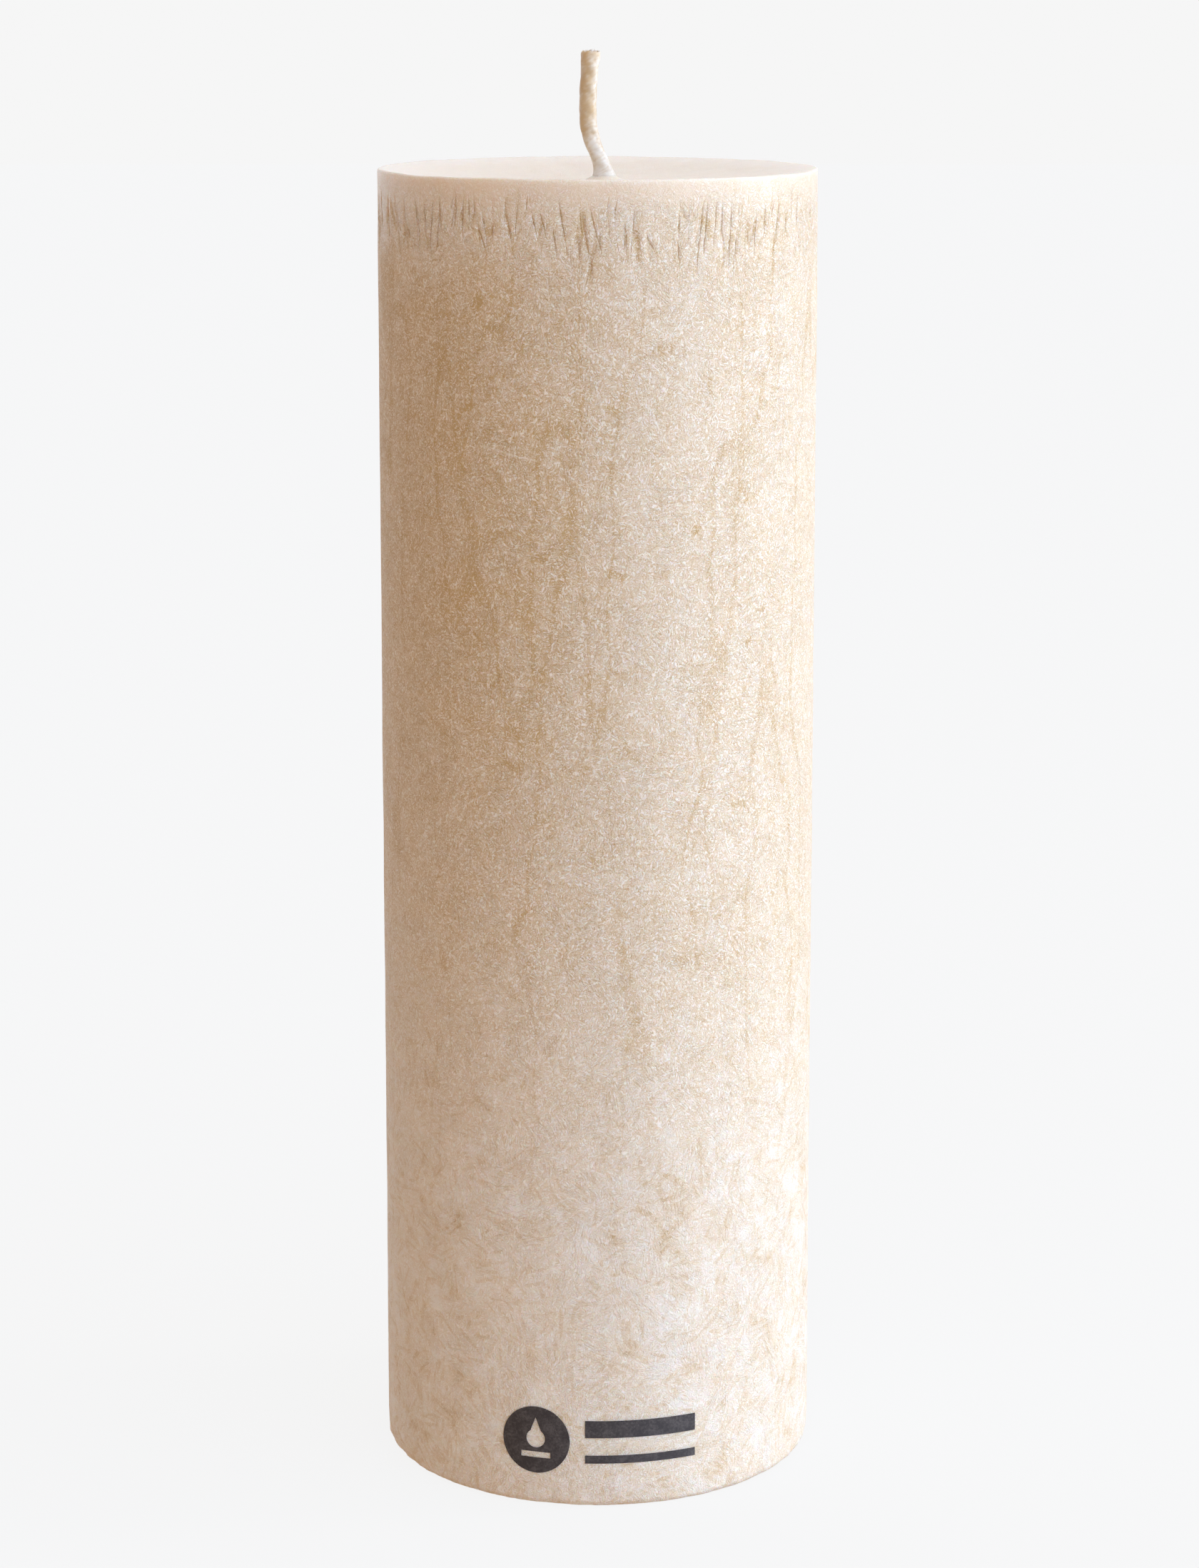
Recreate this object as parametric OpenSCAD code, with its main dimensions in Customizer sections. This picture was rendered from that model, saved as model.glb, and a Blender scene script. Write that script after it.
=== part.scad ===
// Pillar candle of cast crystalline wax with a plaited cotton wick, a base clip and a small printed mark.
// Millimetres. The origin is the middle of the base, +Z is up the candle, and the printed mark faces -Y.

/* [Wax body] */
// Outer diameter of the pillar
candle_d = 70; // [60:1:90]
// Height from the base to the rim
candle_h = 210; // [120:5:260]
// Radius of the rounded edge that the pillar stands on
foot_edge_r = 1; // [0.5:0.1:2]
// Depth of the dished top, measured under the rim
dish_depth = 2.4; // [1:0.1:4]
// Width of the flat lip left round the dish
rim_lip = 0.5; // [0.3:0.1:1.5]

/* [Wick] */
// Outer diameter of the waxed wick
wick_d = 2.84; // [2.6:0.02:3]
// Distance that the wick stands to the right of the pillar's axis
wick_offset = 1; // [0:0.1:2]
// Height of the wick's cut end above the rim
wick_height = 18.5; // [16:0.5:24]
// Length of one full turn of the plait
plait_pitch = 9; // [7:0.5:14]

/* [Base clip and filled well] */
// Diameter of the clip's steel disc
clip_d = 20; // [16:1:24]
// Thickness of the clip's steel sheet
clip_sheet = 0.3; // [0.2:0.05:0.5]
// Length of the clip's neck above its disc
neck_length = 6; // [4:0.5:9]
// Diameter of the well in the base
well_d = 22; // [18:1:26]
// Depth of the well in the base
well_depth = 3; // [2:0.1:5]

/* [Printed mark] */
// Diameter of the round badge
badge_d = 11; // [8:0.5:13]
// Height of the badge's middle above the base
badge_z = 10.8; // [8:0.1:20]
// Angle of the badge round the pillar, from the front
badge_angle = -16.3; // [-30:0.1:-12]
// Thickness of the printed film
film = 0.1; // [0.05:0.01:0.2]
// Arc length of the rules beside the badge
rule_length = 18; // [12:0.5:24]

/* [Hidden] */

fine = 180;                        // $fn of the large round surfaces
small = 64;                        // $fn of the small round surfaces
gap = 0.02;                        // clearance between parts that are pushed or poured together
through = 0.5;                     // how far a cutting shape runs past the face it opens

candle_r = candle_d / 2;
dish_rim_r = candle_r - rim_lip;
dish_sphere_r = (dish_rim_r * dish_rim_r + dish_depth * dish_depth) / (2 * dish_depth);
dish_floor_z = candle_h - dish_depth;

bead_height = 1.3;                 // wax drawn up round the foot of the wick
bead_spread = 1.6;
coat_r = wick_d / 2;
coat_wall = 0.13;
bore_r = coat_r + 0.08;
neck_wall = 0.3;
neck_bore_r = 1.3;
neck_r = neck_bore_r + neck_wall;
clip_floor_z = well_depth - clip_sheet;

// The plait: three strands on one figure-of-eight path, a third of a turn apart.
plait_half_width = 0.8;
plait_half_depth = 0.57;
strand_r = 0.41;
strand_sides = 6;
strand_step = 1.5;
coat_sides = 16;
coat_step = 1;
bare_tip = 0.9;                    // strand ends that show past the wax coat
tip_z = candle_h + wick_height;

// Route of the wick's middle line: height above the rim, then the shift in X and Y from the bore's axis.
wick_route = [[-300, 0, 0], [-2, 0, 0], [-1, 0, 0], [1, -0.5, 0], [3.2, -1.5, -0.2], [6.5, -2.4, -0.4],
    [11.5, -2.5, -0.3], [16.5, -2.2, 0], [30, -1.4, 0.4]];

rule_gap_angle = 4;                // from the badge's edge to the rules
upper_rule = [13, 2.8];            // height of the middle, and width
lower_rule = [8, 1.3];

// Slope of the route at point i, in axis a, from its two neighbours.
function route_slope(i, a) = i == 0 || i == len(wick_route) - 1 ? 0 :
    (wick_route[i + 1][a] - wick_route[i - 1][a]) / (wick_route[i + 1][0] - wick_route[i - 1][0]);

function route_span(h, i = 0) = h <= wick_route[i + 1][0] || i == len(wick_route) - 2 ? i : route_span(h, i + 1);

// Smooth value of the route in axis a at height h above the rim.
function route_at(h, a) =
    let (i = route_span(h), p = wick_route[i], q = wick_route[i + 1], d = q[0] - p[0], t = (h - p[0]) / d)
    p[a] * (1 + 2 * t) * (1 - t) * (1 - t) + q[a] * t * t * (3 - 2 * t)
    + d * (route_slope(i, a) * t * (1 - t) * (1 - t) - route_slope(i + 1, a) * t * t * (1 - t));

function wick_centre(z) = [wick_offset + route_at(z - candle_h, 1), route_at(z - candle_h, 2)];

function strand_centre(z, phase) =
    let (turn = 360 * z / plait_pitch + phase)
    wick_centre(z) + [plait_half_width * sin(turn), plait_half_depth * sin(2 * turn)];

function ring(centre, z, r, sides) =
    [for (k = [0:sides - 1]) [centre[0] + r * cos(360 * k / sides), centre[1] + r * sin(360 * k / sides), z]];

function levels(z0, z1, step) =
    let (n = max(1, round((z1 - z0) / step))) [for (i = [0:n]) z0 + (z1 - z0) * i / n];

function flat_list(lists) = [for (l = lists) for (v = l) v];

// Side faces between stacked rings of points. The first ring's points start at index base.
function side_faces(rings, sides, base = 0, outwards = true) =
    [for (i = [0:rings - 2], k = [0:sides - 1])
        let (a = base + i * sides + k, b = base + i * sides + (k + 1) % sides)
        outwards ? [a, a + sides, b + sides, b] : [a, b, b + sides, a + sides]];

module strand(phase) {
    heights = levels(clip_floor_z + gap, tip_z, strand_step);
    count = len(heights);
    points = flat_list([for (z = heights) ring(strand_centre(z, phase), z, strand_r, strand_sides)]);
    bottom = [for (k = [0:strand_sides - 1]) k];
    top = [for (k = [strand_sides - 1:-1:0]) (count - 1) * strand_sides + k];
    color("ivory") polyhedron(points, concat([bottom], [top], side_faces(count, strand_sides)));
}

// Wax film on the standing length of the wick: a tube, open at both ends.
module wick_coat() {
    heights = levels(dish_floor_z + gap, tip_z - bare_tip, coat_step);
    count = len(heights);
    inner_base = count * coat_sides;
    outer = [for (z = heights) ring(wick_centre(z), z, coat_r, coat_sides)];
    inner = [for (z = heights) ring(wick_centre(z), z, coat_r - coat_wall, coat_sides)];
    last = (count - 1) * coat_sides;
    bottom = [for (k = [0:coat_sides - 1]) let (n = (k + 1) % coat_sides)
        [k, n, inner_base + n, inner_base + k]];
    top = [for (k = [0:coat_sides - 1]) let (n = (k + 1) % coat_sides)
        [last + n, last + k, inner_base + last + k, inner_base + last + n]];
    color("linen") polyhedron(flat_list(concat(outer, inner)), concat(
        side_faces(count, coat_sides), side_faces(count, coat_sides, inner_base, false), bottom, top));
}

// Half section of the pillar, with its rounded foot.
module pillar_section() {
    translate([0, foot_edge_r]) square([candle_r, candle_h - foot_edge_r]);
    square([candle_r - foot_edge_r, foot_edge_r]);
    intersection() {
        translate([candle_r - foot_edge_r, foot_edge_r]) circle(r = foot_edge_r, $fn = small);
        translate([candle_r - foot_edge_r, 0]) square(foot_edge_r);
    }
}

module dish() {
    translate([0, 0, dish_floor_z + dish_sphere_r]) sphere(r = dish_sphere_r, $fn = 2 * fine);
}

// Raised bead of wax round the wick, a cone that sinks into the dish's floor.
module wick_bead() {
    translate([wick_offset, 0, dish_floor_z - through])
        cylinder(h = bead_height + through, r1 = bore_r + bead_spread, r2 = bore_r + 0.15, $fn = small);
}

module wax_body() {
    color("bisque") difference() {
        union() {
            difference() {
                rotate_extrude($fn = fine) pillar_section();
                dish();
            }
            wick_bead();
        }
        translate([wick_offset, 0, -through]) cylinder(h = candle_h + 2 * through, r = bore_r, $fn = small);
        translate([wick_offset, 0, -through])
            cylinder(h = well_depth + neck_length + gap + through, r = neck_r + gap, $fn = small);
        translate([wick_offset, 0, -through]) cylinder(h = well_depth + through, r = well_d / 2, $fn = fine);
    }
}

// Wax poured into the well to cover the clip, level with the base.
module base_plug() {
    color("wheat") translate([wick_offset, 0, 0])
        cylinder(h = clip_floor_z - gap, r = well_d / 2 - gap, $fn = fine);
}

// Steel disc with a drawn neck, which holds the wick's lower end.
module wick_clip() {
    color("silver") translate([wick_offset, 0, clip_floor_z]) difference() {
        union() {
            cylinder(h = clip_sheet - gap, r = clip_d / 2, $fn = fine);
            cylinder(h = clip_sheet + neck_length, r = neck_r, $fn = small);
        }
        translate([0, 0, -through])
            cylinder(h = clip_sheet + neck_length + 2 * through, r = neck_bore_r, $fn = small);
    }
}

// Thin skin that lies on the pillar's side, over the height given.
module film_skin(z0, z1) {
    translate([0, 0, z0]) difference() {
        cylinder(h = z1 - z0, r = candle_r + film, $fn = 2 * fine);
        translate([0, 0, -through]) cylinder(h = z1 - z0 + 2 * through, r = candle_r, $fn = 2 * fine);
    }
}

// Bar with the section given, from the pillar's axis out through its front.
module radial_bar() {
    rotate([90, 0, 0]) linear_extrude(height = candle_r + through) children();
}

// Flame with a round foot and a pointed tip.
module flame() {
    foot_r = badge_d * 0.14;
    foot_z = badge_d * 0.02;
    tip_z = badge_d * 0.34;
    shoulder = foot_r * 0.9;
    translate([0, 0, foot_z]) radial_bar() circle(r = foot_r, $fn = small);
    radial_bar() polygon([[0, tip_z], [-shoulder, foot_z], [shoulder, foot_z]]);
}

// Round badge with a flame and a bar left open in it.
module mark_badge() {
    bar_w = badge_d * 0.44;
    bar_h = badge_d * 0.09;
    bar_y = -badge_d * 0.27;
    color("dimgray") intersection() {
        film_skin(badge_z - badge_d, badge_z + badge_d);
        rotate([0, 0, badge_angle]) translate([0, 0, badge_z]) difference() {
            radial_bar() circle(d = badge_d, $fn = small);
            flame();
            radial_bar() translate([-bar_w / 2, bar_y]) square([bar_w, bar_h]);
        }
    }
}

// A plain bar of film beside the badge: size is [height of its middle, width].
module mark_rule(size) {
    start = badge_angle + asin(badge_d / 2 / candle_r) + rule_gap_angle;
    sweep = rule_length / candle_r * 180 / PI;
    color("dimgray") translate([0, 0, size[0] - size[1] / 2]) rotate([0, 0, start - 90])
        rotate_extrude(angle = sweep, $fn = 2 * fine) translate([candle_r, 0]) square([film, size[1]]);
}

wax_body();
base_plug();
wick_clip();
strand(0);  // wick_strand_1
strand(120);  // wick_strand_2
strand(240);  // wick_strand_3
wick_coat();
mark_badge();
mark_rule(upper_rule);  // mark_rule_upper
mark_rule(lower_rule);  // mark_rule_lower
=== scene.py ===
"""A frosted pillar candle: the cast wax, its waxed plaited wick, the base clip and the printed mark."""
import math
import random

import bpy
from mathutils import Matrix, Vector


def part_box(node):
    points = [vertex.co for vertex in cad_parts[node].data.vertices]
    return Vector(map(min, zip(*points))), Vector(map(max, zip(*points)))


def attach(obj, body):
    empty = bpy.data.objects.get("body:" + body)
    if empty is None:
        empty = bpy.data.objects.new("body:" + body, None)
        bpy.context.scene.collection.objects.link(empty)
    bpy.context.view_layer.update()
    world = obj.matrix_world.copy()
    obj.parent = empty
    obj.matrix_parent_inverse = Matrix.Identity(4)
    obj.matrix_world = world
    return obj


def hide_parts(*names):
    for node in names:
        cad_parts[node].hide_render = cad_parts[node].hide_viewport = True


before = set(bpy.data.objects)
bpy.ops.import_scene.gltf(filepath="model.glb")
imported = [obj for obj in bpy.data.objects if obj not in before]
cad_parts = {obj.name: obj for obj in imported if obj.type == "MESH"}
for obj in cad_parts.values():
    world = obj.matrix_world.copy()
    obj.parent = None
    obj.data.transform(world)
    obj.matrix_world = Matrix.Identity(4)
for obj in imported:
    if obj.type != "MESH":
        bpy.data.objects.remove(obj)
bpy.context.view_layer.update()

MM = 0.001
TURN = 2 * math.pi

# ---------------------------------------------------------------- sizes, from the frame
body_low, body_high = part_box("wax_body")
plug_low, plug_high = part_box("base_plug")
clip_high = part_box("wick_clip")[1]
strand_low, strand_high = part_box("wick_strand_1")

PILLAR_R = (body_high.x - body_low.x) / 2
PILLAR_H = body_high.z
BORE_X = (plug_low.x + plug_high.x) / 2
PLUG_R = (plug_high.x - plug_low.x) / 2
PLUG_TOP = plug_high.z
NECK_TOP = clip_high.z
WICK_FOOT = strand_low.z
WICK_TIP = strand_high.z

# ---------------------------------------------------------------- sizes of the cast wax
FOOT_EDGE = 1.0 * MM
RIM_EDGE = 0.35 * MM
DISH_DEPTH = 2.4 * MM
DISH_R = PILLAR_R - 0.5 * MM
DISH_FLOOR = PILLAR_H - DISH_DEPTH
BEAD_R = 5.2 * MM
BEAD_HEIGHT = 1.35 * MM
BORE_R = 1.5 * MM
NECK_R = 1.64 * MM
WELL_TOP = 3.0 * MM
WELL_R = PLUG_R + 0.02 * MM
RIM_BAND = 22 * MM                  # height of the grooved band under the rim
PILLAR_COLUMNS = 720
CAST_SEED = 0.31                    # one seed for the cracks in the shape and in the finish

# ---------------------------------------------------------------- sizes of the wick
COAT_R = 1.40 * MM
COAT_WALL = 0.12 * MM
PLAIT_PITCH = 9 * MM
PLAIT_HALF_WIDTH = 0.80 * MM
PLAIT_HALF_DEPTH = 0.57 * MM
STRAND_R = 0.41 * MM
STRANDS = 3
RIPPLE_SEED = 7
FRAY_SEED = 21
COAT_LIP = WICK_TIP - 0.25 * MM      # top of the priming wax, just under the cut tip

# Route of the wick's middle line: height over the rim, then the shift in X and Y from the bore, in mm.
WICK_ROUTE = [(-300, 0, 0), (-2, 0, 0), (-1, 0, 0), (1, -0.5, 0), (3.2, -1.5, -0.2), (6.5, -2.4, -0.4),
              (11.5, -2.5, -0.3), (16.5, -2.2, 0), (30, -1.4, 0.4)]


def route_slope(i, axis):
    if i in (0, len(WICK_ROUTE) - 1):
        return 0.0
    before, after = WICK_ROUTE[i - 1], WICK_ROUTE[i + 1]
    return (after[axis] - before[axis]) / (after[0] - before[0])


def route_at(height, axis):
    """Smooth shift of the wick along one axis, in mm, at a height over the rim in mm."""
    last = len(WICK_ROUTE) - 2
    i = next((n for n in range(last) if height <= WICK_ROUTE[n + 1][0]), last)
    low, high = WICK_ROUTE[i], WICK_ROUTE[i + 1]
    span = high[0] - low[0]
    t = (height - low[0]) / span
    ends = low[axis] * (1 + 2 * t) * (1 - t) ** 2 + high[axis] * t * t * (3 - 2 * t)
    slopes = route_slope(i, axis) * t * (1 - t) ** 2 - route_slope(i + 1, axis) * t * t * (1 - t)
    return ends + span * slopes


def wick_centre(z):
    height = (z - PILLAR_H) / MM
    return Vector((BORE_X + route_at(height, 1) * MM, route_at(height, 2) * MM, z))


def smooth_step(value, low, high):
    t = min(max((value - low) / (high - low), 0.0), 1.0)
    return t * t * (3 - 2 * t)


# ---------------------------------------------------------------- node helpers
class Maker:
    """Adds nodes to one tree; a socket given as a value is linked, anything else is set."""

    def __init__(self, tree):
        self.tree = tree

    def feed(self, socket, value):
        if isinstance(value, bpy.types.NodeSocket):
            self.tree.links.new(value, socket)
        else:
            socket.default_value = value

    def add(self, kind, inputs=None, **settings):
        node = self.tree.nodes.new(kind)
        for name, value in settings.items():
            setattr(node, name, value)
        for key, value in (inputs or {}).items():
            self.feed(node.inputs[key], value)
        return node

    def math(self, operation, *values):
        return self.add("ShaderNodeMath", dict(enumerate(values)), operation=operation).outputs[0]

    def plus(self, first, second):
        return self.math("ADD", first, second)

    def minus(self, first, second):
        return self.math("SUBTRACT", first, second)

    def times(self, first, second):
        return self.math("MULTIPLY", first, second)

    def over(self, first, second):
        return self.math("DIVIDE", first, second)

    def vector(self, operation, *values):
        node = self.add("ShaderNodeVectorMath", operation=operation)
        slots = [3 if operation == "SCALE" and n == 1 else n for n in range(len(values))]
        for slot, value in zip(slots, values):
            self.feed(node.inputs[slot], value)
        return node.outputs["Value" if operation in ("LENGTH", "DOT_PRODUCT", "DISTANCE") else "Vector"]

    def total(self, first, *rest):
        for value in rest:
            first = self.plus(first, value)
        return first

    def product(self, first, *rest):
        for value in rest:
            first = self.times(first, value)
        return first

    def ramp(self, value, low, high, at_low=0.0, at_high=1.0):
        """Smooth change from at_low to at_high while value goes from low to high."""
        node = self.add("ShaderNodeMapRange", {0: value, 1: low, 2: high, 3: at_low, 4: at_high},
                        interpolation_type="SMOOTHSTEP")
        return node.outputs[0]

    def noise(self, vector, scale, detail=2.0, roughness=0.5, distortion=0.0):
        node = self.add("ShaderNodeTexNoise", {"Vector": vector, "Scale": scale, "Detail": detail,
                                               "Roughness": roughness, "Distortion": distortion})
        return node.outputs[0]

    def split(self, vector):
        return self.add("ShaderNodeSeparateXYZ", {0: vector}).outputs

    def join(self, x, y, z):
        return self.add("ShaderNodeCombineXYZ", {0: x, 1: y, 2: z}).outputs[0]


def new_tree(name, kind, inputs, outputs):
    """Node tree with named sockets; inputs are (name, type, default), outputs are (name, type)."""
    tree = bpy.data.node_groups.new(name, kind)
    for label, sort, value in inputs:
        socket = tree.interface.new_socket(label, in_out="INPUT", socket_type=sort)
        if value is not None:
            socket.default_value = value
    for label, sort in outputs:
        tree.interface.new_socket(label, in_out="OUTPUT", socket_type=sort)
    make = Maker(tree)
    return tree, make, make.add("NodeGroupInput").outputs, make.add("NodeGroupOutput").inputs


def use_group(make, tree, **inputs):
    """Places a shader group; input names are written with _ for a space."""
    node = make.add("ShaderNodeGroup", node_tree=tree)
    for name, value in inputs.items():
        make.feed(node.inputs[name.replace("_", " ")], value)
    return node.outputs


NUMBER = "NodeSocketFloat"
VECTOR = "NodeSocketVector"
SHAPE = "NodeSocketGeometry"
FINISH = "NodeSocketMaterial"
COUNT = "NodeSocketInt"


# ---------------------------------------------------------------- patterns shared by shapes and materials
def wall_vector(make, place):
    """The place moved out to the pillar's wall, so that a pattern doesn't change with small relief."""
    level = make.vector("MULTIPLY", place, (1, 1, 0))
    ring = make.vector("SCALE", make.vector("NORMALIZE", level), PILLAR_R)
    return make.vector("ADD", ring, make.join(0, 0, make.split(place)[2]))


def rim_cracks(make, place, line, seed):
    """Mask of the narrow upright shrinkage cracks in the band under the rim. line is their width in grains.
    """
    wall = wall_vector(make, place)
    height = make.split(wall)[2]
    drop = make.minus(PILLAR_H, height)
    shifted = make.vector("ADD", wall, make.join(seed, 0, 0))
    lean = make.minus(make.noise(make.vector("MULTIPLY", shifted, (1, 1, 0.25)), 150, 1), 0.5)
    turn = make.product(make.minus(drop, 6 * MM), lean, 34)
    leaned = make.add("ShaderNodeVectorRotate", {"Vector": wall, "Angle": turn}, rotation_type="Z_AXIS")
    tall = make.vector("MULTIPLY", make.vector("ADD", leaned.outputs[0], make.join(0, seed, 0)), (1, 1, 0.11))
    grain = make.add("ShaderNodeTexVoronoi", {"Vector": tall, "Scale": 640.0}, feature="DISTANCE_TO_EDGE")
    crack = make.ramp(grain.outputs["Distance"], 0.0, line, 1.0, 0.0)
    patch = make.noise(make.vector("MULTIPLY", shifted, (1, 1, 0.24)), 430, 1)
    grouped = make.ramp(patch, 0.44, 0.54)
    reach = make.noise(make.vector("MULTIPLY", shifted, (1, 1, 0)), 190, 1)
    start = make.times(reach, 5 * MM)
    top = make.ramp(drop, start, make.plus(start, 3 * MM))
    end = make.times(make.plus(reach, 0.12), 22 * MM)
    bottom = make.ramp(drop, make.minus(end, 4 * MM), end, 1.0, 0.0)
    return make.product(crack, grouped, top, bottom)


# ---------------------------------------------------------------- cast wax shape
def arc(centre, radius, start, stop, steps):
    """Points of an arc in the half section, with angles in degrees."""
    angles = [math.radians(start + (stop - start) * n / steps) for n in range(steps + 1)]
    return [(centre[0] + radius * math.cos(a), centre[1] + radius * math.sin(a)) for a in angles]


def spread(low, high, step):
    count = max(1, round(abs(high - low) / step))
    return [low + (high - low) * n / count for n in range(count + 1)]


def dish_height(radius):
    bowl = DISH_DEPTH * (1 - (radius / DISH_R) ** 2)
    bead = BEAD_HEIGHT * (1 - smooth_step(radius, BORE_R * 0.6, BEAD_R)) ** 1.6
    return PILLAR_H - bowl + bead


def pillar_outline():
    """Closed half section as (radius, height): foot, wall, rim, dish, bore, well and underside."""
    wall_base = [(PILLAR_R, z) for z in spread(FOOT_EDGE, PILLAR_H - RIM_BAND, 3.1 * MM)[1:]]
    wall_band = [(PILLAR_R, z) for z in spread(PILLAR_H - RIM_BAND, PILLAR_H - RIM_EDGE, 0.95 * MM)[1:-1]]
    rim = arc((PILLAR_R - RIM_EDGE, PILLAR_H - RIM_EDGE), RIM_EDGE, 0, 80, 4)
    dish = [(r, dish_height(r)) for r in spread(DISH_R - 0.2 * MM, BEAD_R, 2.4 * MM)]
    bead = [(r, dish_height(r)) for r in spread(BEAD_R, BORE_R, 0.42 * MM)[1:]]
    bore = [(BORE_R, DISH_FLOOR - 2 * MM), (BORE_R, NECK_TOP + 0.02 * MM), (NECK_R, NECK_TOP),
            (NECK_R, WELL_TOP)]
    well = [(WELL_R, WELL_TOP), (WELL_R, PLUG_TOP), (WELL_R, 0.12 * MM), (WELL_R + 0.12 * MM, 0)]
    underside = [(r, 0) for r in spread(WELL_R + 3 * MM, PILLAR_R - FOOT_EDGE, 5.5 * MM)]
    foot = arc((PILLAR_R - FOOT_EDGE, FOOT_EDGE), FOOT_EDGE, -72, 0, 4)
    return foot + wall_base + wall_band + rim + dish + bead + bore + well + underside


def turning_tree():
    """Turns a half section round the axis, then gives the wall, rim, dish and foot their cast relief."""
    tree, make, given, out = new_tree("turned_pillar", "GeometryNodeTree", [
        ("Outline", SHAPE, None), ("Columns", COUNT, 64), ("Bore Shift", NUMBER, 0.0),
        ("Crack Depth", NUMBER, 0.0), ("Crack Line", NUMBER, 0.1), ("Rim Wave", NUMBER, 0.0),
        ("Wall Wave", NUMBER, 0.0), ("Foot Wave", NUMBER, 0.0), ("Seed", NUMBER, 0.0),
        ("Wax", FINISH, None)], [("Pillar", SHAPE)])
    counted = make.add("GeometryNodeAttributeDomainSize", {0: given["Outline"]}, component="MESH")
    count = counted.outputs["Point Count"]
    rows = make.plus(count, 1)
    seam_columns = make.plus(given["Columns"], 1)
    grid = make.add("GeometryNodeMeshGrid", {"Vertices X": seam_columns, "Vertices Y": rows})
    index = make.add("GeometryNodeInputIndex").outputs[0]
    column = make.math("FLOOR", make.over(make.plus(index, 0.5), rows))
    row = make.minus(index, make.times(column, rows))
    source = make.add("GeometryNodeSampleIndex", {
        "Geometry": given["Outline"], "Index": make.math("MODULO", row, count),
        "Value": make.add("GeometryNodeInputPosition").outputs[0]}, data_type="FLOAT_VECTOR").outputs[0]
    radius, _, height = make.split(source)
    angle = make.times(make.over(column, given["Columns"]), TURN)
    shift = make.times(given["Bore Shift"], make.ramp(radius, 12 * MM, 30 * MM, 1.0, 0.0))
    turned = make.join(make.plus(make.times(make.math("COSINE", angle), radius), shift),
                       make.times(make.math("SINE", angle), radius), height)
    shell = make.add("GeometryNodeSetPosition", {"Geometry": grid.outputs[0], "Position": turned})
    welded = make.add("GeometryNodeMergeByDistance", {"Geometry": shell.outputs[0], "Distance": 1e-6})

    place = make.add("GeometryNodeInputPosition").outputs[0]
    seeded = make.vector("ADD", place, make.join(given["Seed"], 0, 0))
    z = make.split(place)[2]
    level = make.vector("MULTIPLY", place, (1, 1, 0))
    outward = make.vector("NORMALIZE", level)
    reach = make.vector("LENGTH", level)
    on_wall = make.ramp(reach, PILLAR_R - 0.6 * MM, PILLAR_R - 0.1 * MM)
    above_mark = make.ramp(z, 20 * MM, 34 * MM)
    wave = make.minus(make.noise(seeded, 55, 2), 0.62)
    inward = make.product(wave, given["Wall Wave"], above_mark, on_wall)
    cracks = rim_cracks(make, place, given["Crack Line"], given["Seed"])
    crack_in = make.product(cracks, given["Crack Depth"], on_wall, -1.0)
    near_foot = make.ramp(z, 0.0, 3.2 * MM, 1.0, 0.0)
    at_edge = make.ramp(reach, PILLAR_R - 4 * MM, PILLAR_R - 1.2 * MM)
    chips = make.minus(make.noise(seeded, 260, 3, 0.6), 0.66)
    foot_in = make.product(chips, given["Foot Wave"], near_foot, at_edge)
    sideways = make.vector("SCALE", outward, make.total(inward, crack_in, foot_in))
    near_rim = make.ramp(z, PILLAR_H - 7 * MM, PILLAR_H)
    off_centre = make.ramp(reach, 4 * MM, 20 * MM)
    swell = make.minus(make.noise(seeded, 75, 2, 0.55), 0.5)
    rim_up = make.product(swell, given["Rim Wave"], near_rim, off_centre)
    foot_up = make.product(make.noise(seeded, 340, 2), given["Foot Wave"], near_foot, at_edge, on_wall, 0.5)
    offset = make.vector("ADD", sideways, make.join(0, 0, make.plus(rim_up, foot_up)))
    relief = make.add("GeometryNodeSetPosition", {"Geometry": welded.outputs[0], "Offset": offset})
    smooth = make.add("GeometryNodeSetShadeSmooth", {0: relief.outputs[0], "Shade Smooth": True})
    whole = make.add("GeometryNodeRealizeInstances", {0: smooth.outputs[0]})
    coated = make.add("GeometryNodeSetMaterial", {"Geometry": whole.outputs[0], "Material": given["Wax"]})
    make.feed(out[0], coated.outputs[0])
    return tree


def link(obj):
    bpy.context.scene.collection.objects.link(obj)
    return obj


def mesh_object(name, points, faces=(), edges=(), material=None, smooth=True):
    mesh = bpy.data.meshes.new(name)
    mesh.from_pydata([tuple(p) for p in points], list(edges), [tuple(f) for f in faces])
    mesh.update()
    if material:
        mesh.materials.append(material)
    if smooth and faces:
        mesh.polygons.foreach_set("use_smooth", [True] * len(mesh.polygons))
    return link(bpy.data.objects.new(name, mesh))


def grow(obj, tree, **inputs):
    """Runs a geometry tree on an object and keeps the result as its plain mesh."""
    modifier = obj.modifiers.new(tree.name, "NODES")
    modifier.node_group = tree
    sockets = {item.name: item.identifier for item in tree.interface.items_tree if item.in_out == "INPUT"}
    for name, value in inputs.items():
        modifier[sockets[name.replace("_", " ")]] = value
    bpy.context.view_layer.update()
    graph = bpy.context.evaluated_depsgraph_get()
    mesh = bpy.data.meshes.new_from_object(obj.evaluated_get(graph))
    name = obj.name
    bpy.data.objects.remove(obj)
    mesh.name = name
    return link(bpy.data.objects.new(name, mesh))


def wax_pillar(material):
    outline = pillar_outline()
    seedling = mesh_object("wax_pillar", [(r, 0, z) for r, z in outline],
                           edges=[(n, n + 1) for n in range(len(outline) - 1)])
    return grow(seedling, turning_tree(), Columns=PILLAR_COLUMNS, Bore_Shift=BORE_X,
                Crack_Depth=0.20 * MM, Crack_Line=0.16, Rim_Wave=0.55 * MM, Wall_Wave=0.30 * MM,
                Foot_Wave=0.9 * MM, Seed=CAST_SEED, Wax=material)


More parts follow.
